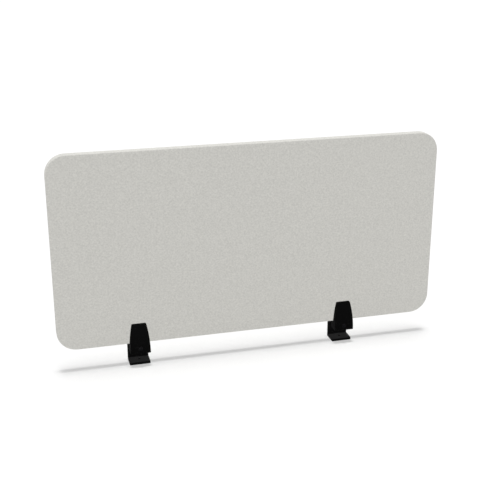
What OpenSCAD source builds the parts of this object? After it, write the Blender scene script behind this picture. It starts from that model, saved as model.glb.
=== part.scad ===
// Acoustic screen for a desk: a felt panel in a fabric cover, held by two black desk clamps.
// X runs along the panel, Y from its front to its back, and Z up. The origin lies on the
// surface that the feet stand on, below the middle of the whole screen.

/* [Panel] */
// Width of the panel along the desk
panel_w = 1200; // [900:50:1800]
// Height of the panel
panel_h = 600; // [400:50:800]
// Radius of the panel's four corners
corner_r = 60; // [20:5:120]
// Thickness of the wooden frame, and of the absorber inside it
core_t = 18; // [14:1:24]
// Thickness of each felt facing
felt_t = 4; // [3:0.5:6]
// Thickness of each fabric cover
cover_t = 0.5; // [0.4:0.1:1]
// Rounding of the covered edge, at the front and at the back
edge_r = 2.5; // [1.5:0.5:3]
// Width of the frame's top and side rails
rail_w = 45; // [30:5:80]
// Height of the frame's bottom rail, where the clamps grip
grip_rail_h = 75; // [70:5:120]

/* [Clamps] */
// From the panel's left end to the middle of the left clamp
left_inset = 245.5; // [160:0.5:350]
// From the panel's right end to the middle of the right clamp
right_inset = 297; // [160:1:350]
// Opening between the jaws and the foot, as set for the desktop
desk_gap = 38; // [12:1:40]
// Thinnest desktop that the clamps take
desk_min = 15; // [10:1:16]
// Thickest desktop that the clamps take
desk_max = 40; // [40:1:50]
// How far the front jaw opens when its screw is loosened
jaw_travel = 5; // [3:0.5:6]

/* [Jaws] */
// Width of the jaws at their lower end
jaw_w = 62.5; // [56:0.5:70]
// Height of the jaws above the panel's lower edge
jaw_rise = 65.5; // [50:0.5:68]
// Height of the jaws below the panel's lower edge
block_h = 26; // [25:1:34]
// How far the front jaw's block reaches under the panel
block_reach = 12.5; // [6:0.5:20]
// From the panel's face to the front of the front jaw
front_jaw_d = 23.5; // [21:0.5:28]
// From the panel's back to the rear of the rear jaw
rear_jaw_d = 11.4; // [10:0.2:16]
// Radius of the arcs that draw in the jaws' sides
side_arc_r = 460; // [360:10:900]
// Radius of the arc that leans the front jaw's face back
face_arc_r = 320; // [300:10:900]
// Radius of the arc over the rear jaw's top
crown_r = 7; // [4:0.5:8]
// Cut across the jaws' top corners
top_cut = 2; // [1:0.5:4]
// Width of the tongue that joins the jaws below the panel
tongue_w = 40; // [30:1:46]
// Overlap of the tongue and the front jaw's thick part when that jaw is fully open
tongue_hold = 4; // [3:0.5:4]
// Wall below the tongue
tongue_wall = 4; // [3:0.5:5]
// Width of the guide boss in the bracket's slot
boss_w = 12.3; // [11:0.1:14]
// Height of the guide boss
boss_h = 24; // [18:1:26]
// Depth of the guide boss into the bracket
boss_d = 4.5; // [3:0.5:5]

/* [Pads] */
// Thickness of the rubber grip pads
grip_pad_t = 2; // [1.5:0.5:3]
// How far a pad stands out of its jaw
pad_proud = 1; // [0.5:0.1:1.2]
// Margin of the jaw round its grip pad
pad_margin = 5; // [3:0.5:8]
// Length of the desk pads under the jaws
desk_pad_l = 50; // [40:1:54]
// Width of the front desk pad
front_desk_pad_w = 28; // [16:1:29]
// Width of the rear desk pad
rear_desk_pad_w = 6; // [4:0.5:7]
// Thickness of the desk pads
desk_pad_t = 1.5; // [1.2:0.1:2]
// How far a desk pad stands below its jaw
desk_pad_proud = 0.3; // [0.2:0.1:0.6]

/* [Bracket] */
// Width of the bracket
bracket_w = 64; // [56:1:72]
// Thickness of the bracket's steel
bracket_t = 8; // [6:0.5:9]
// Depth of the foot, measured over the upright plate
foot_d = 49.5; // [40:0.5:60]
// Radius of the fillet between the foot and the upright plate
root_r = 1.5; // [1:0.5:5]
// Rounding of the heel, under the upright plate
heel_r = 2; // [1:0.5:6]
// Radius of the corners of the foot and of the upright plate
bracket_corner_r = 3; // [2:0.5:8]
// Steel left above the slot
slot_land = 12; // [8:1:20]
// Diameter of the screw hole in the foot
foot_hole_d = 7.5; // [4.5:0.1:9]
// From the foot's front edge to the middle of its screw hole
foot_hole_y = 23; // [16:0.5:31]

/* [Screw] */
// From the panel's lower edge down to the middle of the clamp screw
screw_drop = 11; // [9:0.5:14]
// Diameter of the clamp screw
screw_d = 8; // [6:0.5:8]
// Length of the clamp screw under its head
screw_l = 80; // [80:5:90]
// Diameter of the screw's round head
head_d = 14; // [12:0.5:16]
// Height of the screw's round head
head_h = 4.4; // [3:0.2:5]
// Diameter of the flat top of the screw's head
head_flat_d = 7.4; // [7:0.1:8]
// Width across the flats of the hexagon socket
socket_af = 5; // [4:0.5:6]
// Depth of the hexagon socket
socket_h = 2.6; // [2:0.2:2.8]
// Depth of the flat seat sunk into the jaw for the head
seat_h = 1.2; // [1:0.1:2]
// Chamfer at the screw's end
tail_cut = 0.8; // [0.4:0.1:1.2]
// Outer diameter of the washer
washer_d = 24; // [20:0.5:28]
// Thickness of the washer
washer_t = 2; // [1.5:0.1:3]
// Width across the flats of the lock nut
nut_af = 13; // [12:0.5:15]
// Height of the lock nut with its collar
nut_h = 8; // [7.5:0.5:9]
// Height of the round collar that holds the nut's nylon ring
collar_h = 2; // [1.5:0.1:2.5]
// Outer diameter of the collar
collar_d = 11; // [10.6:0.1:11.4]

/* [Fits] */
// Gap between pieces that slide on each other, and under the panel
slide_gap = 0.1; // [0.05:0.01:0.15]
// Radial gap of the screw in its nut
thread_gap = 0.05; // [0.03:0.01:0.08]
// Radial gap of the screw in the jaws and the washer
bore_gap = 0.3; // [0.2:0.05:0.5]
// Gap round the pieces inside the panel
wrap_gap = 0.1; // [0.05:0.05:0.3]
// Gap at each end of the bracket's travel
end_gap = 0.5; // [0.3:0.1:1]

/* [Hidden] */

// Smoothness of small round shapes and of the long arcs
$fn = 96;
long_arc_fn = 720;
// Overrun of every cut past the face that it starts from
cut = 1;

// Places in a clamp's own frame: its middle on X, the panel's front face on Y, and the
// panel's lower edge on Z
panel_t = core_t + 2 * (felt_t + cover_t);
screw_z = -screw_drop;
seat_y = -front_jaw_d + seat_h;
plate_y = panel_t + rear_jaw_d + slide_gap;
plate_back_y = plate_y + bracket_t;
foot_front_y = plate_back_y - foot_d;
foot_z = -block_h - desk_gap - bracket_t;
tongue_reach = jaw_travel + tongue_hold;
washer_y = plate_back_y + slide_gap;
nut_y = washer_y + washer_t;
screw_front_y = seat_y - head_h;
screw_back_y = seat_y + screw_l;

// The slot holds the guide boss at every desktop from the thinnest to the thickest. Its
// ends are measured from the underside of the foot.
boss_rise = bracket_t + block_h + screw_z;
slot_w = boss_w + 2 * slide_gap;
slot_low = boss_rise + desk_min - boss_h / 2 - end_gap;
slot_high = boss_rise + desk_max + boss_h / 2 + end_gap;
plate_h = slot_high + slot_land;

// Places in the screen's frame
middle_y = (screw_front_y + screw_back_y) / 2;
left_x = -panel_w / 2 + left_inset;
right_x = panel_w / 2 - right_inset;

fabric_colour = "#c6c5bf";
felt_colour = "#9c9a94";
wood_colour = "#c8a878";
absorber_colour = "#e6e4dc";
black_plastic = "#1c1c1d";
black_steel = "#161617";
black_rubber = "#0f0f10";
dark_zinc = "#2a2a2c";

// Moves a child from a clamp's own frame to the screen's frame
module from_clamp(x) {
    translate([x, -middle_y, -foot_z]) children();
}

// Stands up a child that lies flat round the panel's middle, front face up
module stand_panel() {
    translate([0, panel_t / 2 - middle_y, panel_h / 2 - foot_z]) rotate([90, 0, 0]) children();
}

// Outline in X and Z, made solid from y0 to y1
module along_y(y0, y1) {
    translate([0, y1, 0]) rotate([90, 0, 0]) linear_extrude(height = y1 - y0) children();
}

// Outline in Y and Z, made solid over a width centred on X
module along_x(width) {
    rotate([90, 0, 90]) linear_extrude(height = width, center = true) children();
}

// Rod along Y from y0 to y1
module rod_y(y0, y1, d) {
    translate([0, y0, 0]) rotate([-90, 0, 0]) cylinder(h = y1 - y0, d = d);
}

module box(low, high) {
    translate(low) cube(high - low);
}

module rounded_rect(w, h, r) {
    square([w - 2 * r, h], center = true);
    square([w, h - 2 * r], center = true);
    for (x = [-1, 1], y = [-1, 1])
        translate([x * (w / 2 - r), y * (h / 2 - r)]) circle(r);
}

// Upright slot with round ends, between two heights
module slot_outline(w, z0, z1) {
    translate([-w / 2, z0 + w / 2]) square([w, z1 - z0 - w]);
    for (z = [z0 + w / 2, z1 - w / 2])
        translate([0, z]) circle(w / 2);
}

// Panel pieces, lying flat round the panel's middle

module frame() {
    inset = cover_t + wrap_gap;
    opening_w = panel_w - 2 * rail_w;
    opening_h = panel_h - rail_w - grip_rail_h;
    color(wood_colour) stand_panel()
        linear_extrude(height = core_t, center = true)
            difference() {
                rounded_rect(panel_w - 2 * inset, panel_h - 2 * inset, corner_r - inset);
                translate([0, (grip_rail_h - rail_w) / 2]) square([opening_w, opening_h], center = true);
            }
}

module absorber() {
    slab_w = panel_w - 2 * (rail_w + wrap_gap);
    slab_h = panel_h - rail_w - grip_rail_h - 2 * wrap_gap;
    color(absorber_colour) stand_panel()
        translate([0, (grip_rail_h - rail_w) / 2, 0]) cube([slab_w, slab_h, core_t], center = true);
}

module felt_layer(z) {
    color(felt_colour) stand_panel()
        translate([0, 0, z]) linear_extrude(height = felt_t)
            rounded_rect(panel_w - 2 * edge_r, panel_h - 2 * edge_r, corner_r - edge_r);
}

module front_felt() { felt_layer(core_t / 2); }
module rear_felt() { felt_layer(-core_t / 2 - felt_t); }

// Half of the panel's edge in section: from the corner's middle out to reach, and from
// the low line up to height, with the outer corner rounded
module edge_section(reach, height, r, low) {
    translate([0, low]) square([reach - r, height - low]);
    translate([0, low]) square([reach, height - r - low]);
    translate([reach - r, height - r]) circle(r);
}

module cover_section() {
    difference() {
        edge_section(corner_r, panel_t / 2, edge_r, 0);
        edge_section(corner_r - cover_t, panel_t / 2 - cover_t, edge_r - cover_t, -cut);
    }
}

// One cover: its face, four wrapped sides and four wrapped corners
module cover_shell() {
    flat_w = panel_w - 2 * corner_r;
    flat_h = panel_h - 2 * corner_r;
    translate([0, 0, (panel_t - cover_t) / 2]) cube([flat_w, flat_h, cover_t], center = true);
    for (turn = [0 : 3]) {
        across = turn % 2 == 0 ? flat_w : flat_h;
        along = turn % 2 == 0 ? flat_h : flat_w;
        rotate([0, 0, 90 * turn]) translate([across / 2, 0, 0]) {
            rotate([90, 0, 0]) linear_extrude(height = along, center = true) cover_section();
            translate([0, along / 2, 0]) rotate_extrude(angle = 90) cover_section();
        }
    }
}

module front_cover() { color(fabric_colour) stand_panel() cover_shell(); }
module rear_cover() { color(fabric_colour) stand_panel() mirror([0, 0, 1]) cover_shell(); }

// Clamp pieces, in a clamp's own frame

// Outline of both jaws from the front, drawn in by an inset all round
module jaw_outline(inset, low) {
    half = jaw_w / 2 - inset;
    top = jaw_rise - inset;
    top_half = half - side_arc_r + sqrt(pow(side_arc_r, 2) - pow(top + block_h, 2)) - top_cut;
    cut_z = top - (half - top_half);
    intersection() {
        polygon([
            [-half, low], [half, low], [half, cut_z],
            [top_half, top], [-top_half, top], [-half, cut_z]
        ]);
        translate([jaw_w / 2 - side_arc_r, -block_h])
            circle(side_arc_r - inset, $fn = long_arc_fn);
        translate([side_arc_r - jaw_w / 2, -block_h])
            circle(side_arc_r - inset, $fn = long_arc_fn);
    }
}

module screw_bore(y0, y1) {
    translate([0, 0, screw_z]) rod_y(y0, y1, screw_d + 2 * bore_gap);
}

// Room for the tongue in the front jaw, with clearance all round and past its end. Under
// the panel it is a channel, open at its top.
module tongue_pocket() {
    half = tongue_w / 2 + slide_gap;
    box([-half, -pad_proud - tongue_reach - end_gap, tongue_wall - block_h - slide_gap],
        [half, block_reach + cut, slide_gap]);
}

module grip_pad_outline() {
    jaw_outline(pad_margin, pad_margin);
}

// The front jaw in section: leaning face, and block that reaches under the panel
module front_jaw_section() {
    intersection() {
        translate([-front_jaw_d, -block_h]) union() {
            square([front_jaw_d - pad_proud, block_h + jaw_rise]);
            square([front_jaw_d + block_reach, block_h - slide_gap]);
        }
        translate([face_arc_r - front_jaw_d, -block_h]) circle(face_arc_r, $fn = long_arc_fn);
    }
}

module front_jaw() {
    color(black_plastic) difference() {
        intersection() {
            along_y(-front_jaw_d, block_reach) jaw_outline(0, -block_h);
            along_x(jaw_w) front_jaw_section();
        }
        tongue_pocket();
        along_y(-grip_pad_t, cut - pad_proud) grip_pad_outline();
        front_desk_pad_slab(cut);
        screw_bore(-front_jaw_d - cut, cut);
        translate([0, 0, screw_z]) rod_y(-front_jaw_d - cut, seat_y, head_d + 2 * bore_gap);
    }
}

module front_grip_pad() {
    color(black_rubber) along_y(-grip_pad_t, -slide_gap) grip_pad_outline();
}

// The slabs of the desk pads; down lengthens them downwards to cut their seats
module desk_pad_slab(y_mid, w, down) {
    top = desk_pad_t - desk_pad_proud - block_h;
    box([-desk_pad_l / 2, y_mid - w / 2, top - desk_pad_t - down],
        [desk_pad_l / 2, y_mid + w / 2, top]);
}

module front_desk_pad_slab(down = 0) {
    desk_pad_slab((block_reach - front_jaw_d) / 2, front_desk_pad_w, down);
}

module rear_desk_pad_slab(down = 0) {
    desk_pad_slab(panel_t + (rear_jaw_d + pad_proud) / 2, rear_desk_pad_w, down);
}

module front_desk_pad() { color(black_rubber) front_desk_pad_slab(); }
module rear_desk_pad() { color(black_rubber) rear_desk_pad_slab(); }

module rear_jaw() {
    front_y = panel_t + pad_proud;
    back_y = panel_t + rear_jaw_d;
    tongue_y = -pad_proud - tongue_reach + end_gap;
    color(black_plastic) difference() {
        union() {
            intersection() {
                along_y(front_y, back_y) jaw_outline(0, -block_h);
                along_x(jaw_w) {
                    translate([front_y, -block_h])
                        square([back_y - front_y, block_h + jaw_rise - crown_r]);
                    translate([front_y, -block_h])
                        square([back_y - front_y - crown_r, block_h + jaw_rise]);
                    translate([back_y - crown_r, jaw_rise - crown_r]) circle(crown_r);
                }
            }
            box([-tongue_w / 2, tongue_y, tongue_wall - block_h],
                [tongue_w / 2, front_y, -slide_gap]);
            along_y(back_y, back_y + boss_d)
                slot_outline(boss_w, screw_z - boss_h / 2, screw_z + boss_h / 2);
        }
        along_y(front_y - cut, panel_t + grip_pad_t) grip_pad_outline();
        rear_desk_pad_slab(cut);
        screw_bore(tongue_y - cut, back_y + boss_d + cut);
    }
}

module rear_grip_pad() {
    color(black_rubber) along_y(panel_t + slide_gap, panel_t + grip_pad_t) grip_pad_outline();
}

// What is cut off a square corner at the origin to round it
module corner_waste_outline(r) {
    difference() {
        translate([-cut, -cut]) square(r + cut);
        translate([r, r]) circle(r);
    }
}

// The same along Z, from the origin up
module corner_waste(r, h) {
    translate([0, 0, -cut]) linear_extrude(height = h + 2 * cut) corner_waste_outline(r);
}

// The bracket's section: foot and upright plate, filleted inside and rounded at the heel
module bracket_section() {
    difference() {
        union() {
            translate([foot_front_y, 0]) square([foot_d, bracket_t]);
            translate([plate_y, 0]) square([bracket_t, plate_h]);
            translate([plate_y - root_r, bracket_t]) difference() {
                square(root_r);
                translate([0, root_r]) circle(root_r);
            }
        }
        translate([plate_back_y, 0]) mirror([1, 0]) corner_waste_outline(heel_r);
    }
}

module bracket() {
    r = bracket_corner_r;
    color(black_steel) translate([0, 0, foot_z]) difference() {
        along_x(bracket_w) bracket_section();
        for (side = [0, 1]) mirror([side, 0, 0]) {
            translate([-bracket_w / 2, foot_front_y, 0]) corner_waste(r, bracket_t);
            translate([-bracket_w / 2, plate_back_y, plate_h]) rotate([90, 0, 0])
                mirror([0, 1, 0]) corner_waste(r, bracket_t);
        }
        along_y(plate_y - cut, plate_back_y + cut) slot_outline(slot_w, slot_low, slot_high);
        translate([0, foot_front_y + foot_hole_y, -cut])
            cylinder(h = bracket_t + 2 * cut, d = foot_hole_d);
    }
}

// The head's dome runs through the rim of its seat and the rim of its flat top
module clamp_screw() {
    dome_y = (pow(head_d / 2, 2) - pow(head_flat_d / 2, 2) - pow(head_h, 2)) / (2 * head_h);
    dome_r = sqrt(pow(head_d / 2, 2) + pow(dome_y, 2));
    color(dark_zinc) translate([0, seat_y, screw_z]) difference() {
        union() {
            intersection() {
                translate([0, dome_y, 0]) sphere(dome_r);
                rod_y(-head_h, 0, head_d + cut);
            }
            rod_y(0, screw_l - tail_cut, screw_d);
            translate([0, screw_l - tail_cut, 0]) rotate([-90, 0, 0])
                cylinder(h = tail_cut, d1 = screw_d, d2 = screw_d - 2 * tail_cut);
        }
        translate([0, -head_h - cut, 0]) rotate([-90, 0, 0])
            cylinder(h = socket_h + cut, d = socket_af / cos(30), $fn = 6);
    }
}

module washer() {
    color(dark_zinc) difference() {
        translate([0, 0, screw_z]) rod_y(washer_y, washer_y + washer_t, washer_d);
        screw_bore(washer_y - cut, washer_y + washer_t + cut);
    }
}

module lock_nut() {
    color(dark_zinc) translate([0, nut_y, screw_z]) difference() {
        union() {
            rotate([-90, 0, 0]) cylinder(h = nut_h - collar_h, d = nut_af / cos(30), $fn = 6);
            rod_y(0, nut_h, collar_d);
        }
        rod_y(-cut, nut_h + cut, screw_d + 2 * thread_gap);
    }
}

frame();
absorber();
front_felt();
rear_felt();
front_cover();
rear_cover();
from_clamp(left_x) front_jaw();  // left_front_jaw
from_clamp(left_x) front_grip_pad();  // left_front_grip_pad
from_clamp(left_x) front_desk_pad();  // left_front_desk_pad
from_clamp(left_x) rear_jaw();  // left_rear_jaw
from_clamp(left_x) rear_grip_pad();  // left_rear_grip_pad
from_clamp(left_x) rear_desk_pad();  // left_rear_desk_pad
from_clamp(left_x) bracket();  // left_bracket
from_clamp(left_x) clamp_screw();  // left_clamp_screw
from_clamp(left_x) washer();  // left_washer
from_clamp(left_x) lock_nut();  // left_lock_nut
from_clamp(right_x) front_jaw();  // right_front_jaw
from_clamp(right_x) front_grip_pad();  // right_front_grip_pad
from_clamp(right_x) front_desk_pad();  // right_front_desk_pad
from_clamp(right_x) rear_jaw();  // right_rear_jaw
from_clamp(right_x) rear_grip_pad();  // right_rear_grip_pad
from_clamp(right_x) rear_desk_pad();  // right_rear_desk_pad
from_clamp(right_x) bracket();  // right_bracket
from_clamp(right_x) clamp_screw();  // right_clamp_screw
from_clamp(right_x) washer();  // right_washer
from_clamp(right_x) lock_nut();  // right_lock_nut
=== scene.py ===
"""Acoustic screen for a desk: its looks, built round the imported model.

Lengths are in metres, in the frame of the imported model. A clamp's pieces are made in the
clamp's own frame, with x 0 at its middle, y 0 at the panel's front face and z 0 at the
panel's lower edge, and are then moved to where the left and the right clamp are.
"""

import math

import bmesh
import bpy
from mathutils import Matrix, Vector


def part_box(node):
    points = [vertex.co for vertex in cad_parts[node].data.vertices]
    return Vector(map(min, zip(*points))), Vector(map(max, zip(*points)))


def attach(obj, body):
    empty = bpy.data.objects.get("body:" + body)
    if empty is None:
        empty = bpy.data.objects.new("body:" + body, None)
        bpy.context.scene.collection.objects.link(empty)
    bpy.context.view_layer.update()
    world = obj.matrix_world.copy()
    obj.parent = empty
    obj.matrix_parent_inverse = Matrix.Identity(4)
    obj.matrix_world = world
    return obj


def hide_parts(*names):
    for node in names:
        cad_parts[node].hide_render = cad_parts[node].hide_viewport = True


MM = 0.001
TURN = 2 * math.pi

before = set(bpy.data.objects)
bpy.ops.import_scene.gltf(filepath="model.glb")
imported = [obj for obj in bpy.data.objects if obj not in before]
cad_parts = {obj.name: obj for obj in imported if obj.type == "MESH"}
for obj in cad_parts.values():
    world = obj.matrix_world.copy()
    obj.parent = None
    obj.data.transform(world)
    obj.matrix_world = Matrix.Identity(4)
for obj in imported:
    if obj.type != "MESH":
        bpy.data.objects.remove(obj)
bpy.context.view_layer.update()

# The panel, from its covers
cover_low, cover_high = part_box("front_cover")
PANEL_W = cover_high.x - cover_low.x
PANEL_H = cover_high.z - cover_low.z
FRONT_Y = cover_low.y
EDGE_Z = cover_low.z
PANEL_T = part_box("rear_cover")[1].y - FRONT_Y
CORNER_R = 60 * MM
EDGE_R = 2.5 * MM
COVER_T = 0.5 * MM


def add_object(name, data):
    """An object with that data, in the scene."""
    made = bpy.data.objects.new(name, data)
    bpy.context.scene.collection.objects.link(made)
    return made


# Camera


def make_camera():
    """The photograph's own camera, solved from the panel's edges. Its place is in widths of
    the panel, from the middle of the panel's front lower edge, and its focal length in widths
    of the picture."""
    place_shares = Vector((-0.59888, -2.18915, 1.03906))
    yaw_deg, pitch_deg = 15.2157, 19.7697
    focal_share = 1.895274
    data = bpy.data.cameras.new("camera")
    data.sensor_width = 36.0
    data.lens = data.sensor_width * focal_share
    data.clip_end = 200
    camera = add_object("camera", data)
    camera.location = Vector((0, FRONT_Y, EDGE_Z)) + PANEL_W * place_shares
    camera.rotation_euler = (math.radians(90 - pitch_deg), 0, -math.radians(yaw_deg))
    bpy.context.scene.camera = camera


make_camera()


# Materials

NOISE_TILT = (0.6, 0.5, 0.4)
BLACKS = ((0.0006,) * 3, (0.0012,) * 3)


class Shader:
    """A material's node tree, with short calls for the nodes that are used here."""

    def __init__(self, name, **values):
        self.material = bpy.data.materials.new(name)
        self.material.use_nodes = True
        self.nodes = self.material.node_tree.nodes
        self.links = self.material.node_tree.links
        self.surface = self.nodes["Principled BSDF"]
        for key, value in values.items():
            self.surface.inputs[key.replace("_", " ")].default_value = value

    def add(self, kind, inputs=(), **settings):
        node = self.nodes.new(kind)
        for key, value in settings.items():
            setattr(node, key, value)
        for key, value in dict(inputs).items():
            self.feed(node.inputs[key], value)
        return node

    def feed(self, socket, value):
        """Links a socket to another's output, or sets its value."""
        if isinstance(value, bpy.types.NodeSocket):
            self.links.new(value, socket)
        else:
            socket.default_value = value

    def place(self):
        """Places in the piece's own frame, in metres."""
        return self.add("ShaderNodeTexCoord").outputs["Object"]

    def cloth(self):
        """Places on the flat cut of the cloth, in metres."""
        return self.add("ShaderNodeUVMap", uv_map="cloth").outputs["UV"]

    def stretched(self, vector, scale):
        return self.add("ShaderNodeMapping", {"Vector": vector, "Scale": scale}).outputs["Vector"]

    def tilted(self, vector):
        """Places turned out of the noise's own grid, which would show as stripes."""
        turned = self.add("ShaderNodeMapping", {"Vector": vector, "Rotation": NOISE_TILT})
        return turned.outputs["Vector"]

    def noise(self, vector, size, detail=2.0, roughness=0.5):
        """Noise whose blotches are about size across."""
        node = self.add(
            "ShaderNodeTexNoise",
            {"Vector": vector, "Scale": 1 / size, "Detail": detail, "Roughness": roughness},
        )
        return node.outputs["Fac"]

    def math(self, operation, a, b=0.0):
        return self.add("ShaderNodeMath", {0: a, 1: b}, operation=operation).outputs[0]

    def total(self, *terms):
        """The sum of amount times value, over (amount, value) pairs."""
        found = 0.0
        for amount, value in terms:
            inputs = {0: value, 1: amount, 2: found}
            found = self.add("ShaderNodeMath", inputs, operation="MULTIPLY_ADD").outputs[0]
        return found

    def colour(self, factor, dark, light):
        """Colour between dark at 0 and light at 1."""
        node = self.add("ShaderNodeMix", data_type="RGBA")
        self.feed(node.inputs["Factor"], factor)
        node.inputs[6].default_value = (*dark, 1)
        node.inputs[7].default_value = (*light, 1)
        self.links.new(node.outputs[2], self.surface.inputs["Base Color"])

    def roughen(self, factor, low, high):
        """Roughness between low at 0 and high at 1."""
        node = self.add("ShaderNodeMapRange", {"Value": factor, "To Min": low, "To Max": high})
        self.links.new(node.outputs["Result"], self.surface.inputs["Roughness"])

    def bump(self, height, depth, strength=1.0, coat=False):
        """Relief from a height of 0 to 1 that stands for depth."""
        node = self.add(
            "ShaderNodeBump", {"Height": height, "Distance": depth, "Strength": strength}
        )
        self.links.new(node.outputs["Normal"], self.surface.inputs["Normal"])
        if coat:
            self.links.new(node.outputs["Normal"], self.surface.inputs["Coat Normal"])


def scaled(colour, share):
    return tuple(c * share for c in colour)


def fabric_material():
    """Pale grey woven wool, slightly mottled, with a fine plain weave whose threads wander."""
    thread, fibre, blotch = 1.1 * MM, 0.35 * MM, 5 * MM
    sway, sway_size = 2 * MM, 9 * MM
    grey, dark_share, light_share = (0.600, 0.593, 0.560), 0.82, 1.18
    centring = -0.321
    s = Shader("woven_fabric", Roughness=0.92, Specular_IOR_Level=0.12, Sheen_Weight=0.06,
               Sheen_Roughness=0.5)
    flat = s.cloth()
    grain = s.tilted(flat)
    wander = s.noise(grain, sway_size)
    axes = s.add("ShaderNodeSeparateXYZ", {"Vector": flat}).outputs
    bent = [s.total((sway, wander), (1.0, axes[k])) for k in (0, 1)]
    waves = [s.math("SINE", s.math("MULTIPLY", b, TURN / (2 * thread))) for b in bent]
    over = s.math("MULTIPLY", *waves)
    # The yarns' crown height: relief in the bump, and painted shade in the colour
    crown_height_and_shade = s.math("ABSOLUTE", over)
    fibres = s.noise(grain, fibre, detail=3.0, roughness=0.6)
    mottle = s.noise(grain, blotch, detail=1.0)
    # Painted shade: the crown term makes the yarns' tops lighter and the gaps between yarns
    # darker
    tone = s.total((1.05, mottle), (0.10, over), (0.40, crown_height_and_shade), (0.30, fibres), (centring, 1.0))
    s.colour(tone, scaled(grey, dark_share), scaled(grey, light_share))
    s.bump(s.total((0.3, crown_height_and_shade), (0.2, fibres), (0.6, mottle)), 0.5 * MM, 0.7)
    return s.material


def plastic_material():
    """Black moulded plastic with a fine spark-eroded texture."""
    s = Shader("black_plastic", Specular_IOR_Level=0.0, Coat_Weight=0.07, Coat_Roughness=0.36)
    place = s.place()
    grain = s.noise(place, 0.45 * MM)
    clouds = s.noise(place, 14 * MM)
    s.colour(s.total((0.6, grain), (0.4, clouds)), *BLACKS)
    s.roughen(clouds, 0.48, 0.6)
    s.bump(grain, 0.04 * MM, 0.6, coat=True)
    return s.material


def powder_coat_material():
    """Black powder coat on steel, with its faint orange peel."""
    s = Shader("black_powder_coat", Specular_IOR_Level=0.0, Coat_Weight=0.19, Coat_Roughness=0.3,
               Coat_IOR=1.35)
    place = s.place()
    peel = s.noise(place, 1.1 * MM)
    grain = s.noise(place, 0.3 * MM)
    clouds = s.noise(place, 18 * MM)
    s.colour(s.total((0.5, grain), (0.5, clouds)), *BLACKS)
    s.roughen(peel, 0.42, 0.55)
    s.bump(s.total((0.75, peel), (0.25, grain)), 0.05 * MM, 0.6, coat=True)
    return s.material


def rubber_material():
    """Dull black rubber."""
    s = Shader("black_rubber", Specular_IOR_Level=0.0, Coat_Weight=0.07, Coat_Roughness=0.6)
    place = s.place()
    grain = s.noise(place, 0.25 * MM, detail=3.0)
    s.colour(grain, (0.0016,) * 3, (0.0034,) * 3)
    s.roughen(grain, 0.75, 0.9)
    s.bump(grain, 0.05 * MM, 0.7, coat=True)
    return s.material


def zinc_material():
    """Black zinc plating on turned steel."""
    s = Shader("black_zinc", Metallic=1.0, Specular_Tint=(0.35, 0.35, 0.35, 1))
    place = s.place()
    turned = s.noise(s.stretched(place, (1, 6, 1)), 0.5 * MM)
    clouds = s.noise(place, 3 * MM)
    dark, light = (0.0068, 0.0068, 0.0073), (0.0132, 0.0132, 0.0142)
    s.colour(s.total((0.5, turned), (0.5, clouds)), dark, light)
    s.roughen(clouds, 0.6, 0.75)
    s.bump(turned, 0.02 * MM, 0.5)
    return s.material


def felt_material():
    """Needled grey felt, inside the covers."""
    s = Shader("needled_felt", Roughness=0.95, Specular_IOR_Level=0.1)
    place = s.place()
    tufts = s.noise(place, 1.5 * MM, detail=5.0, roughness=0.7)
    s.colour(tufts, (0.20, 0.195, 0.18), (0.45, 0.44, 0.40))
    s.bump(tufts, 0.4 * MM)
    return s.material


def wood_material():
    """Planed softwood, for the frame inside."""
    s = Shader("planed_wood", Roughness=0.6, Specular_IOR_Level=0.3)
    place = s.place()
    along = s.stretched(place, (0.08, 1, 1))
    rings = s.noise(along, 6 * MM, detail=4.0, roughness=0.65)
    pores = s.noise(along, 0.8 * MM)
    s.colour(s.total((0.8, rings), (0.2, pores)), (0.36, 0.22, 0.10), (0.68, 0.50, 0.29))
    s.roughen(rings, 0.5, 0.7)
    s.bump(pores, 0.1 * MM, 0.5)
    return s.material


def absorber_material():
    """Pale fibre slab, inside the frame."""
    s = Shader("fibre_slab", Roughness=0.97, Specular_IOR_Level=0.05)
    place = s.place()
    layers = s.noise(s.stretched(place, (1, 4, 1)), 4 * MM, detail=6.0, roughness=0.7)
    s.colour(layers, (0.55, 0.53, 0.46), (0.88, 0.87, 0.82))
    s.bump(layers, 0.8 * MM)
    return s.material


FABRIC = fabric_material()
PLASTIC = plastic_material()
POWDER_COAT = powder_coat_material()
RUBBER = rubber_material()
ZINC = zinc_material()


# Mesh tools

SHARP_DEG = 32


def mesh_of(name, bm):
    """A mesh with a bmesh's faces. It uses the bmesh up."""
    mesh = bpy.data.meshes.new(name)
    bm.to_mesh(mesh)
    bm.free()
    return mesh


def bridge(bm, a, b):
    """Faces between two rings of equally many vertices."""
    for i in range(len(a)):
        j = (i + 1) % len(a)
        bm.faces.new((a[i], a[j], b[j], b[i]))


def loft(loops, closed=False):
    """A skin through loops of equally many points. Its ends are capped, or joined if closed."""
    bm = bmesh.new()
    rings = [[bm.verts.new(point) for point in loop] for loop in loops]
    pairs = list(zip(rings, rings[1:]))
    if closed:
        pairs.append((rings[-1], rings[0]))
    else:
        bm.faces.new(reversed(rings[0]))
        bm.faces.new(rings[-1])
    for a, b in pairs:
        bridge(bm, a, b)
    bmesh.ops.recalc_face_normals(bm, faces=bm.faces)
    return bm


def shade(mesh):
    """Smooth shading, but for edges that are sharper than SHARP_DEG."""
    mesh.shade_smooth()
    mesh.set_sharp_from_angle(angle=math.radians(SHARP_DEG))


def make_piece(name, bm, material):
    """A shaded object with that mesh and material."""
    mesh = mesh_of(name, bm)
    mesh.materials.append(material)
    shade(mesh)
    return add_object(name, mesh)


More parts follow.
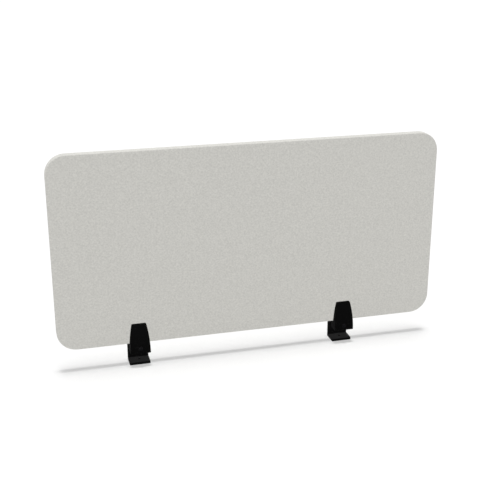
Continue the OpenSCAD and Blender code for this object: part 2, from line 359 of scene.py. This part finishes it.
def combine(piece, operation, *tools):
    """Cuts the tools' meshes out of a piece, or adds them to it."""
    helpers = []
    for bm in tools:
        helper = add_object("tool", mesh_of("tool", bm))
        helpers.append(helper)
        step = piece.modifiers.new("combine", "BOOLEAN")
        step.operation = operation
        step.solver = "EXACT"
        step.object = helper
    evaluated = piece.evaluated_get(bpy.context.evaluated_depsgraph_get())
    mesh = bpy.data.meshes.new_from_object(evaluated)
    piece.modifiers.clear()
    piece.data = mesh
    for helper in helpers:
        bpy.data.objects.remove(helper)
    shade(mesh)
    return piece


def keep_flats_flat(piece):
    """Lets large flat faces keep their own normal, next to rounded edges."""
    weighted = piece.modifiers.new("weighted_normals", "WEIGHTED_NORMAL")
    weighted.keep_sharp = True


def rounding(distance, r):
    """How far a rounded edge of radius r has drawn in, at a distance from the edge's end."""
    if distance >= r:
        return 0.0
    return r - math.sqrt(max(0.0, r * r - (r - distance) ** 2))


def spaced(start, stop, count):
    """Both ends and the places between them, count steps in all."""
    return [start + (stop - start) * k / count for k in range(count + 1)]


def quarter(count):
    """The angles of a quarter turn, from 0, in count steps."""
    return [math.pi / 2 * k / count for k in range(count + 1)]


def corner_points(cx, cy, r, start_deg, steps=6):
    """An arc of a quarter turn round a corner's middle, as (x, y) points."""
    for k in range(steps + 1):
        a = math.radians(start_deg + 90 * k / steps)
        yield cx + r * math.cos(a), cy + r * math.sin(a)


def rounded_box_loop(x0, x1, y0, y1, r_front, r_back):
    """(x, y) points of a rectangle, rounded apart at its front (y0) and at its back (y1)."""
    return [
        *corner_points(x1 - r_back, y1 - r_back, r_back, 0),
        *corner_points(x0 + r_back, y1 - r_back, r_back, 90),
        *corner_points(x0 + r_front, y0 + r_front, r_front, 180),
        *corner_points(x1 - r_front, y0 + r_front, r_front, 270),
    ]


def level_loop(z, *outline):
    """The points of rounded_box_loop at a height."""
    return [(x, y, z) for x, y in rounded_box_loop(*outline)]


def box_tool(low, high):
    """A plain box between two corners."""
    corners = [(low[0], low[1]), (high[0], low[1]), (high[0], high[1]), (low[0], high[1])]
    return loft([[(x, y, z) for x, y in corners] for z in (low[2], high[2])])


def slot_loop(half_w, z_low, z_high, y):
    """An upright slot with round ends. z_low and z_high are the middles of its ends."""
    steps = 20
    points = []
    for middle, start in ((z_high, 0.0), (z_low, math.pi)):
        for k in range(steps + 1):
            a = start + math.pi * k / steps
            points.append((half_w * math.cos(a), y, middle + half_w * math.sin(a)))
    return points


# Panel covers

MESH_PITCH = 10 * MM
FACE_RINGS_MM = (0, 12, 24, 36, 46, 53)


def panel_path():
    """Round the panel: (x, z) of the line through the corners' middles, and the way out."""
    steps_corner = 16
    half_w = PANEL_W / 2 - CORNER_R
    half_h = PANEL_H / 2 - CORNER_R
    corners = [(half_w, -half_h), (half_w, half_h), (-half_w, half_h), (-half_w, -half_h)]
    path = []
    for turn, (x, z) in enumerate(corners):
        length = 2 * (half_h if turn % 2 == 0 else half_w)
        count = round(length / MESH_PITCH)
        out = (math.cos(turn * TURN / 4), math.sin(turn * TURN / 4))
        for k in range(count + 1):
            path.append((x - out[1] * length * k / count, z + out[0] * length * k / count, *out))
        end_x, end_z = path[-1][:2]
        for k in range(1, steps_corner):
            a = (turn + k / steps_corner) * TURN / 4
            path.append((end_x, end_z, math.cos(a), math.sin(a)))
    return path, half_w, half_h


def cover_profile():
    """The cover in section, from the corners' middles out: (reach, depth, length along it)."""
    seam_r = 0.7 * MM
    seam_gap = 0.06 * MM
    middle = PANEL_T / 2 - seam_gap
    flat = CORNER_R - EDGE_R
    points = [(r * MM, 0.0) for r in FACE_RINGS_MM] + [(flat, 0.0)]
    for a in quarter(8)[1:]:
        points.append((flat + EDGE_R * math.sin(a), EDGE_R * (1 - math.cos(a))))
    points += [(CORNER_R, y) for y in spaced(EDGE_R, middle - seam_r, 4)[1:]]
    for a in quarter(5)[1:]:
        reach = CORNER_R - seam_r * (1 - math.cos(a))
        points.append((reach, middle - seam_r * (1 - math.sin(a))))
    lengths = [0.0]
    for (r0, y0), (r1, y1) in zip(points, points[1:]):
        lengths.append(lengths[-1] + math.hypot(r1 - r0, y1 - y0))
    return [(r, y, s) for (r, y), s in zip(points, lengths)]


def make_cover(name, node, mirrored):
    """One fabric cover, stretched over a face and turned in at the middle of the edge. It is
    made as the front one, with each vertex's place on the flat cut as its UV."""
    path, half_w, half_h = panel_path()
    profile = cover_profile()
    bm = bmesh.new()
    flat_cut = bm.loops.layers.uv.new("cloth")
    at = {}

    def vertex(x, y, z, cut):
        v = bm.verts.new((x, y, z))
        at[v] = cut
        return v

    rings = [
        [vertex(x + r * nx, y, z + r * nz, (x + s * nx, z + s * nz)) for x, z, nx, nz in path]
        for r, y, s in profile
    ]
    for a, b in zip(rings, rings[1:]):
        bridge(bm, a, b)
    columns, rows = (round(2 * h / MESH_PITCH) for h in (half_w, half_h))
    xs, zs = spaced(-half_w, half_w, columns), spaced(-half_h, half_h, rows)
    grid = [[vertex(x, 0.0, z, (x, z)) for x in xs] for z in zs]
    for low, high in zip(grid, grid[1:]):
        for i in range(columns):
            bm.faces.new((low[i], low[i + 1], high[i + 1], high[i]))
    for face in bm.faces:
        for loop in face.loops:
            loop[flat_cut].uv = at[loop.vert]
    bmesh.ops.remove_doubles(bm, verts=bm.verts, dist=0.01 * MM)
    bmesh.ops.recalc_face_normals(bm, faces=bm.faces)
    if sum(f.normal.y * f.calc_area() for f in bm.faces) > 0:
        bmesh.ops.reverse_faces(bm, faces=bm.faces)
    piece = make_piece(name, bm, FABRIC)
    mesh = piece.data
    middle_z = EDGE_Z + PANEL_H / 2
    for v in mesh.vertices:
        y = PANEL_T - v.co.y if mirrored else v.co.y
        v.co = (v.co.x, FRONT_Y + y, middle_z + v.co.z)
    if mirrored:
        mesh.flip_normals()
    skin = piece.modifiers.new("thickness", "SOLIDIFY")
    skin.thickness = COVER_T
    skin.offset = -1
    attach(piece, "screen")
    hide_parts(node)


make_cover("front_fabric", "front_cover", mirrored=False)
make_cover("rear_fabric", "rear_cover", mirrored=True)


# Clamps. Their sizes come from the left clamp, in its own frame


def clamp_origin(side):
    """A clamp's own origin: its middle, at the panel's front face and lower edge."""
    low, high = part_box(f"{side}_front_jaw")
    return Vector(((low.x + high.x) / 2, FRONT_Y, EDGE_Z))


def local_box(node):
    """(lowest, highest) corner of a node of the left clamp, in the clamp's own frame."""
    low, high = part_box(f"left_{node}")
    origin = clamp_origin("left")
    return low - origin, high - origin


front_low, front_high = local_box("front_jaw")
rear_low, rear_high = local_box("rear_jaw")
plate_low, plate_high = local_box("bracket")
screw_low, screw_high = local_box("clamp_screw")
JAW_BOTTOM, JAW_TOP = front_low.z, front_high.z
JAW_HALF = front_high.x
SIDE_ARC_R = 460 * MM
FACE_ARC_R = 320 * MM
SCREW_Z = (screw_low.z + screw_high.z) / 2
SCREW_R = 4 * MM
BORE_R = 4.3 * MM
HEAD_H = 4.4 * MM
HEAD_R = 7 * MM
HEAD_GAP = 0.3 * MM
SEAT_GAP = 0.05 * MM
THREAD_PITCH = 1.25 * MM
RING_STEPS = 72
PAD_PROUD = 1 * MM
SLIDE_GAP = 0.1 * MM
END_GAP = 0.5 * MM
TONGUE_WALL = 4 * MM
TONGUE_LOW = Vector((-20 * MM, rear_low.y, JAW_BOTTOM + TONGUE_WALL))
TONGUE_HIGH = Vector((20 * MM, 0, -SLIDE_GAP))
BOSS_W = 12.3 * MM
BOSS_H = 24 * MM
PLATE_T = 8 * MM
PLATE_Y = plate_high.y - PLATE_T
ROOT_R = 1.5 * MM
HEEL_R = 2 * MM
FOOT_HOLE_R = 3.75 * MM
FOOT_HOLE_Y = plate_low.y + 23 * MM
DESK_MIN, DESK_MAX = 15 * MM, 40 * MM
BOSS_RISE = PLATE_T + SCREW_Z - JAW_BOTTOM
SLOT_LOW = BOSS_RISE + DESK_MIN - BOSS_H / 2 - END_GAP
SLOT_HIGH = BOSS_RISE + DESK_MAX + BOSS_H / 2 + END_GAP
# How far a cutting tool reaches past the faces that it cuts
CUT = 1 * MM


def half_width(z):
    """Half the jaws' width at a height, between the arcs of their sides."""
    return JAW_HALF - SIDE_ARC_R + math.sqrt(SIDE_ARC_R**2 - (z - JAW_BOTTOM) ** 2)


def face_lean(z):
    """How far the front jaw's face leans back at a height."""
    return FACE_ARC_R - math.sqrt(FACE_ARC_R**2 - (z - JAW_BOTTOM) ** 2)


def polar_loop(radius, y, steps=48):
    """A loop round the screw's axis. radius is a length, or a function of the angle."""
    points = []
    for k in range(steps):
        a = TURN * k / steps
        r = radius(a) if callable(radius) else radius
        points.append((r * math.sin(a), y, SCREW_Z + r * math.cos(a)))
    return points


def bevelled(start, stop, bevel):
    """(place, growth) pairs for a cut from start to stop that widens at each end."""
    return [
        (start - CUT, bevel + CUT), (start, bevel), (start + bevel, 0),
        (stop - bevel, 0), (stop, bevel), (stop + CUT, bevel + CUT),
    ]


def jaw_stations(end_r, top_r):
    """Heights for a jaw's loops, close together in its rounded lower and upper edge."""
    turns = quarter(8)
    low = [JAW_BOTTOM + end_r * (1 - math.cos(t)) for t in turns]
    high = [JAW_TOP - top_r * (1 - math.cos(t)) for t in reversed(turns)]
    return low + spaced(low[-1], high[0], 26)[1:-1] + high


def desk_pad_seat(node):
    """The hollow that a desk pad fills, open below."""
    low, high = local_box(node)
    return box_tool((low.x, low.y, low.z - CUT), high)


def front_jaw():
    """The front jaw: a block whose sides are drawn in and whose face leans back in arcs. Its
    lower part reaches under the panel."""
    front_y, back_y, reach_y = front_low.y, -PAD_PROUD, front_high.y
    side_r, end_r, top_r, corner_r, back_r = 2.6 * MM, 0.8 * MM, 2.2 * MM, 3.2 * MM, 0.4 * MM
    shelf_z, step = -SLIDE_GAP, 0.05 * MM
    shelf = [shelf_z - back_r * (1 - math.sin(t)) for t in quarter(4)]
    loops = []
    for z in sorted([*jaw_stations(end_r, corner_r), *shelf, shelf_z + step]):
        low, high = z - JAW_BOTTOM, JAW_TOP - z
        half = half_width(z) - rounding(low, end_r) - rounding(high, corner_r)
        y0 = front_y + face_lean(z) + rounding(low, end_r) + rounding(high, top_r)
        if z > shelf_z:
            y1 = back_y - rounding(high, back_r)
        else:
            y1 = reach_y - rounding(low, back_r) - rounding(shelf_z - z, back_r)
        loops.append(level_loop(z, -half, half, y0, y1, side_r, back_r))
    piece = make_piece("front_jaw_moulding", loft(loops), PLASTIC)

    seat_y = screw_low.y + HEAD_H + SEAT_GAP
    face_y = front_y + face_lean(SCREW_Z)
    seat_r, bevel = HEAD_R + HEAD_GAP, 0.35 * MM
    seat = [
        (face_y - CUT, seat_r + bevel + CUT), (face_y, seat_r + bevel), (face_y + bevel, seat_r),
        (seat_y, seat_r), (seat_y, BORE_R), (back_y + CUT, BORE_R),
    ]
    pocket_low = TONGUE_LOW - Vector((SLIDE_GAP, 2 * END_GAP, SLIDE_GAP))
    pocket_high = Vector((TONGUE_HIGH.x + SLIDE_GAP, reach_y + CUT, SLIDE_GAP))
    return combine(
        piece, "DIFFERENCE",
        loft([polar_loop(r, y) for y, r in seat]),
        box_tool(pocket_low, pocket_high),
        loft(grip_pad_loops(local_box("front_grip_pad"), back_y + CUT, 0)),
        desk_pad_seat("front_desk_pad"),
    )


def turned_box(box):
    """A box with its front and its back changed over, through y 0."""
    low, high = box
    return Vector((low.x, -high.y, low.z)), Vector((high.x, -low.y, high.z))


def turned_loops(loops):
    return [[(x, -y, z) for x, y, z in loop] for loop in loops]


def grip_pad_loops(box, back_y, ribs_depth):
    """A grip pad: the jaws' outline drawn in, with ribs across the face that grips at back_y."""
    low, high = box
    margin = half_width(low.z) - high.x
    rib, groove, r = 3 * MM, 1 * MM, 0.3 * MM
    count = int((high.z - low.z - rib) / (rib + groove))
    first = (high.z - low.z - count * (rib + groove) + groove) / 2 + low.z
    stations = [(low.z, 0), (low.z + r, 0)]
    for k in range(count - 1):
        edge = first + rib + k * (rib + groove)
        for share, sunk in ((0, 0), (1, 1), (3, 1), (4, 0)):
            stations.append((edge + share * groove / 4, sunk))
    stations += [(high.z - r, 0), (high.z, 0)]
    loops = []
    for z, sunk in stations:
        inset = rounding(z - low.z, r) + rounding(high.z - z, r)
        half = half_width(z) - margin - inset
        loops.append(level_loop(z, -half, half, low.y, back_y - sunk * ribs_depth, r, r))
    return loops


def grip_pad(node, turned):
    """A rubber grip pad. The rear one is made as the front one and turned about."""
    box, ribs_depth = local_box(node), 0.5 * MM
    if turned:
        box = turned_box(box)
    loops = grip_pad_loops(box, box[1].y, ribs_depth)
    if turned:
        loops = turned_loops(loops)
    return make_piece(f"{node}_rubber", loft(loops), RUBBER)


def desk_pad(node):
    """A rubber pad below a jaw, rounded where it meets the desktop."""
    low, high = local_box(node)
    r, corner_r = 0.5 * MM, 1.5 * MM
    loops = []
    for z in [low.z + r * (1 - math.cos(t)) for t in quarter(4)] + [high.z]:
        i = rounding(z - low.z, r)
        sides = (low.x + i, high.x - i, low.y + i, high.y - i)
        loops.append(level_loop(z, *sides, corner_r - i, corner_r - i))
    return make_piece(f"{node}_rubber", loft(loops), RUBBER)


def rear_jaw():
    """The rear jaw, with its tongue below the panel and the guide boss for the bracket."""
    crown_r, side_r, end_r, corner_r, front_r = 7 * MM, 1.2 * MM, 0.8 * MM, 3.2 * MM, 0.4 * MM
    tongue_r, bevel, overlap = 0.8 * MM, 0.4 * MM, 2 * MM
    y_front = PANEL_T + PAD_PROUD
    y_back = PLATE_Y - SLIDE_GAP
    loops = []
    for z in jaw_stations(end_r, crown_r):
        low, high = z - JAW_BOTTOM, JAW_TOP - z
        half = half_width(z) - rounding(low, end_r) - rounding(high, corner_r)
        y0 = y_front + rounding(low, front_r) + rounding(high, front_r)
        y1 = y_back - rounding(low, end_r) - rounding(high, crown_r)
        loops.append(level_loop(z, -half, half, y0, y1, front_r, side_r))
    piece = make_piece("rear_jaw_moulding", loft(loops), PLASTIC)

    tongue = []
    end = [TONGUE_LOW.y + tongue_r * (1 - math.cos(t)) for t in quarter(4)]
    for y in end + [y_front + overlap]:
        i = rounding(y - TONGUE_LOW.y, tongue_r)
        sides = (TONGUE_LOW.x + i, TONGUE_HIGH.x - i, TONGUE_LOW.z + i, TONGUE_HIGH.z - i)
        tongue.append([(x, y, z) for x, z in rounded_box_loop(*sides, tongue_r, tongue_r)])
    boss_half, boss_reach = BOSS_W / 2, BOSS_H / 2 - BOSS_W / 2
    boss = [
        slot_loop(boss_half - inset, SCREW_Z - boss_reach, SCREW_Z + boss_reach, y)
        for y, inset in ((y_back - overlap, 0), (rear_high.y - bevel, 0), (rear_high.y, bevel))
    ]
    combine(piece, "UNION", loft(tongue), loft(boss))

    seat = grip_pad_loops(turned_box(local_box("rear_grip_pad")), -y_front + CUT, 0)
    bore_ends = (TONGUE_LOW.y - CUT, rear_high.y + CUT)
    return combine(
        piece, "DIFFERENCE",
        loft(turned_loops(seat)),
        desk_pad_seat("rear_desk_pad"),
        loft([polar_loop(BORE_R, y) for y in bore_ends]),
    )


def bracket_loop(x, back, inset):
    """The bracket's section at x: foot, heel, plate and root. back is how far the rounded
    corners have drawn in its two ends there, and inset how far its edge has drawn in all
    round."""
    edge_r = 1.0 * MM - inset
    foot_y = plate_low.y + back + inset
    low_z, foot_z = plate_low.z + inset, plate_low.z + PLATE_T - inset
    inner_y, outer_y = PLATE_Y + inset, plate_high.y - inset
    root_z = plate_low.z + PLATE_T + ROOT_R
    top_z = plate_high.z - back - inset
    points = [
        *corner_points(foot_y + edge_r, low_z + edge_r, edge_r, 180),
        *corner_points(plate_high.y - HEEL_R, plate_low.z + HEEL_R, HEEL_R - inset, 270, 12),
        *corner_points(outer_y - edge_r, top_z - edge_r, edge_r, 0),
        *corner_points(inner_y + edge_r, top_z - edge_r, edge_r, 90),
        *reversed(list(corner_points(PLATE_Y - ROOT_R, root_z, ROOT_R + inset, 270, 12))),
        *corner_points(foot_y + edge_r, foot_z - edge_r, edge_r, 90),
    ]
    return [(x, y, z) for y, z in points]


def bracket():
    """The steel bracket, with rounded corners and softened edges."""
    half, corner_r, side_r, bevel = plate_high.x, 3 * MM, 0.8 * MM, 0.4 * MM
    ends = sorted({round(half - corner_r * (1 - math.sin(t)), 7) for t in quarter(14)})
    loops = []
    for x in [-x for x in reversed(ends)] + ends:
        left = half - abs(x)
        loops.append(bracket_loop(x, rounding(left, corner_r), rounding(left, side_r)))
    piece = make_piece("bracket_steel", loft(loops), POWDER_COAT)

    slot_half = BOSS_W / 2 + SLIDE_GAP
    z_low, z_high = plate_low.z + SLOT_LOW + slot_half, plate_low.z + SLOT_HIGH - slot_half
    slot = [
        slot_loop(slot_half + growth, z_low, z_high, y)
        for y, growth in bevelled(PLATE_Y, plate_high.y, bevel)
    ]
    turns = [TURN * k / 48 for k in range(48)]
    hole = []
    for rise, growth in bevelled(0, PLATE_T, bevel):
        r, z = FOOT_HOLE_R + growth, plate_low.z + rise
        hole.append([(r * math.cos(t), FOOT_HOLE_Y + r * math.sin(t), z) for t in turns])
    return combine(piece, "DIFFERENCE", loft(slot), loft(hole))


def hexagon(half_flats):
    """Radius of a hexagon at an angle, with flats at half_flats from its middle."""
    def radius(a):
        return half_flats / math.cos((a + TURN / 12) % (TURN / 6) - TURN / 12)
    return radius


def smallest(*radii):
    """The smallest of some radii, each of which is a length or a function of the angle."""
    return lambda a: min(r(a) if callable(r) else r for r in radii)


def screw_thread(y, begin_y, end_y):
    """The threaded end's radius at y, as a function of the angle. The thread fades in over
    its first turn, and a chamfer ends it."""
    depth, chamfer, steepness, crest = 0.72 * MM, 0.8 * MM, 2.6, 0.2
    fade = min(1.0, (y - begin_y) / THREAD_PITCH)
    limit = SCREW_R - max(0.0, y - (end_y - chamfer))

    def radius(a):
        phase = (y / THREAD_PITCH - a / TURN) % 1.0
        sunk = min(1.0, max(0.0, (0.5 - abs(phase - 0.5)) * steepness - crest))
        return min(SCREW_R - fade * depth * sunk, limit)
    return radius


def clamp_screw():
    """The round-head screw: socket, dome, shank and the thread at its end. A ring close to a
    rim keeps the flat face next to it flat."""
    front_y, seat_y, tail_y = screw_low.y, screw_low.y + HEAD_H, screw_high.y
    flat_r, socket_half, socket_h = 3.7 * MM, 2.5 * MM, 2.6 * MM
    drill_h, drill_r = 0.6 * MM, 0.3 * MM
    mouth_h, mouth_r = 0.35 * MM, 2.95 * MM
    front_ring, seat_ring = 0.15 * MM, 0.3 * MM
    dome_y = (HEAD_R**2 - flat_r**2 - HEAD_H**2) / (2 * HEAD_H)
    dome_r = math.hypot(HEAD_R, dome_y)
    socket = hexagon(socket_half)
    rows = [
        (front_y + socket_h + drill_h, drill_r),
        (front_y + socket_h, smallest(socket, socket_half)),
        (front_y + socket_h, socket),
        (front_y + mouth_h, socket),
        (front_y, lambda a: max(socket(a), mouth_r)),
        (front_y, flat_r - front_ring),
    ]
    for a in spaced(math.asin(flat_r / dome_r), math.asin(HEAD_R / dome_r), 12):
        rows.append((seat_y + dome_y - dome_r * math.cos(a), dome_r * math.sin(a)))
    thread_l, steps_a_turn = 20 * MM, 8
    begin_y = tail_y - thread_l
    rows += [(seat_y, HEAD_R - seat_ring), (seat_y, SCREW_R), (begin_y, SCREW_R)]
    for y in spaced(begin_y, tail_y, round(steps_a_turn * thread_l / THREAD_PITCH))[1:]:
        rows.append((y, screw_thread(y, begin_y, tail_y)))
    return make_piece("clamp_screw_steel", loft([polar_loop(r, y) for y, r in rows]), ZINC)


def make_ring(name, rows):
    """A plated ring round the screw's axis, from the (y, radius) rows of its section."""
    loops = [polar_loop(r, y, RING_STEPS) for y, r in rows]
    return make_piece(name, loft(loops, closed=True), ZINC)


def washer():
    """A plain washer with softened edges."""
    low, high = local_box("washer")
    outer, e = high.x, 0.25 * MM
    return make_ring("washer_steel", [
        (low.y, BORE_R + e), (low.y, outer - e), (low.y + e, outer), (high.y - e, outer),
        (high.y, outer - e), (high.y, BORE_R + e), (high.y - e, BORE_R), (low.y + e, BORE_R),
    ])


def lock_nut():
    """A hexagon nut with chamfered corners, and the round collar over its nylon ring."""
    low, high = local_box("lock_nut")
    half_flats, thread_r = 6.5 * MM, SCREW_R + 0.05 * MM
    face_r, chamfer_h, slope = half_flats - 0.2 * MM, 0.8 * MM, 1 / math.tan(math.radians(30))
    collar_h, collar_r, collar_foot, round_r = 2 * MM, 5.5 * MM, 0.3 * MM, 0.7 * MM
    lip_r, collar_lip, thread_lip = 4.6 * MM, 0.4 * MM, 0.5 * MM
    hex_y = high.y - collar_h
    flats = hexagon(half_flats)
    rise = spaced(0, chamfer_h, 8)
    rows = [(low.y, lip_r), (low.y, face_r)]
    rows += [(low.y + d, smallest(flats, face_r + d * slope)) for d in rise[1:]]
    rows += [(hex_y - d, smallest(flats, face_r + d * slope)) for d in reversed(rise)]
    rows += [(hex_y, collar_r + collar_foot), (hex_y + collar_foot, collar_r)]
    for a in quarter(6):
        y = high.y - round_r * (1 - math.sin(a))
        rows.append((y, collar_r - round_r * (1 - math.cos(a))))
    rows += [(high.y, lip_r), (high.y - collar_lip, thread_r), (low.y + thread_lip, thread_r)]
    return make_ring("lock_nut_steel", rows)


# Each clamp piece: how it is made, the node that it stands for, its body and its slot
CLAMP_PIECES = [
    (front_jaw, "front_jaw", "jaw", "black_plastic"),
    (lambda: grip_pad("front_grip_pad", turned=False), "front_grip_pad", "jaw", "rubber"),
    (lambda: desk_pad("front_desk_pad"), "front_desk_pad", "jaw", "rubber"),
    (rear_jaw, "rear_jaw", "clamp", "black_plastic"),
    (lambda: grip_pad("rear_grip_pad", turned=True), "rear_grip_pad", "clamp", "rubber"),
    (lambda: desk_pad("rear_desk_pad"), "rear_desk_pad", "clamp", "rubber"),
    (bracket, "bracket", "bracket", "black_steel"),
    (clamp_screw, "clamp_screw", "screw", "dark_zinc"),
    (washer, "washer", "clamp", "dark_zinc"),
    (lock_nut, "lock_nut", "clamp", "dark_zinc"),
]


def make_clamps():
    """Makes each piece once and puts a copy in each clamp. The photograph's light doesn't
    darken where a clamp's pieces meet, so they hide no soft light from each other."""
    for make, node, body, slot in CLAMP_PIECES:
        first = make()
        name = first.name
        for side in ("left", "right"):
            piece = first if side == "right" else first.copy()
            piece.data = first.data.copy()
            if side == "left":
                bpy.context.scene.collection.objects.link(piece)
            origin = clamp_origin(side)
            for v in piece.data.vertices:
                v.co += origin
            piece.name = f"{side}_{name}"
            keep_flats_flat(piece)
            piece.visible_diffuse = False
            piece.visible_glossy = False
            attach(piece, f"{side}_{body}")
            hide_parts(f"{side}_{node}")


make_clamps()


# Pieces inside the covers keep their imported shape


def dress(node, material):
    """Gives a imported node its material."""
    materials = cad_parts[node].data.materials
    materials.clear()
    materials.append(material)


dress("frame", wood_material())
dress("absorber", absorber_material())
felt = felt_material()
for node in ("front_felt", "rear_felt"):
    dress(node, felt)


# Stage and light


def make_floor():
    """A wide pale floor, which renders white where nothing shades it."""
    reach, grey, gap = 60.0, 0.822, 0.1 * MM
    bm = bmesh.new()
    bmesh.ops.create_grid(bm, x_segments=2, y_segments=2, size=reach)
    mesh = mesh_of("floor", bm)
    material = bpy.data.materials.new("pale_floor")
    material.use_nodes = True
    nodes, links = material.node_tree.nodes, material.node_tree.links
    nodes.remove(nodes["Principled BSDF"])
    diffuse = nodes.new("ShaderNodeBsdfDiffuse")
    diffuse.inputs["Color"].default_value = (grey, grey, grey, 1)
    links.new(diffuse.outputs[0], nodes["Material Output"].inputs["Surface"])
    mesh.materials.append(material)
    floor = add_object("floor", mesh)
    floor.location.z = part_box("left_bracket")[0].z - gap


def add_sun(name, strength, spread_deg, tilt_deg=0.0, turn_deg=0.0):
    """A soft sun, straight overhead unless it is tilted, and then from the front at turn 0."""
    sun = bpy.data.lights.new(name, "SUN")
    sun.energy = strength * math.pi
    sun.angle = math.radians(spread_deg)
    lamp = add_object(name, sun)
    lamp.rotation_euler = (math.radians(tilt_deg), 0, math.radians(turn_deg))


def make_world(strength):
    """An even pale surround. The camera and reflections see it as white."""
    world = bpy.data.worlds.new("studio")
    bpy.context.scene.world = world
    world.use_nodes = True
    world.cycles.sampling_method = "NONE"
    nodes, links = world.node_tree.nodes, world.node_tree.links
    path = nodes.new("ShaderNodeLightPath")
    seen = path.outputs["Is Camera Ray"]
    for name in ("Is Glossy Ray", "Is Transmission Ray"):
        either = nodes.new("ShaderNodeMath")
        either.operation = "MAXIMUM"
        links.new(seen, either.inputs[0])
        links.new(path.outputs[name], either.inputs[1])
        seen = either.outputs[0]
    level = nodes.new("ShaderNodeMapRange")
    level.inputs["To Min"].default_value = strength
    level.inputs["To Max"].default_value = 1.0
    links.new(seen, level.inputs["Value"])
    background = nodes["Background"]
    background.inputs["Color"].default_value = (1, 1, 1, 1)
    links.new(level.outputs["Result"], background.inputs["Strength"])


def make_light():
    """Soft light from overhead, a little from the front and the back, and the surround."""
    make_world(0.71)
    add_sun("overhead_soft", 0.387, 19)
    add_sun("overhead_crisp", 0.194, 6)
    add_sun("front", 0.07, 20, tilt_deg=90)
    add_sun("back", 0.07, 20, tilt_deg=90, turn_deg=180)


make_floor()
make_light()
bpy.context.scene.view_settings.view_transform = "Standard"
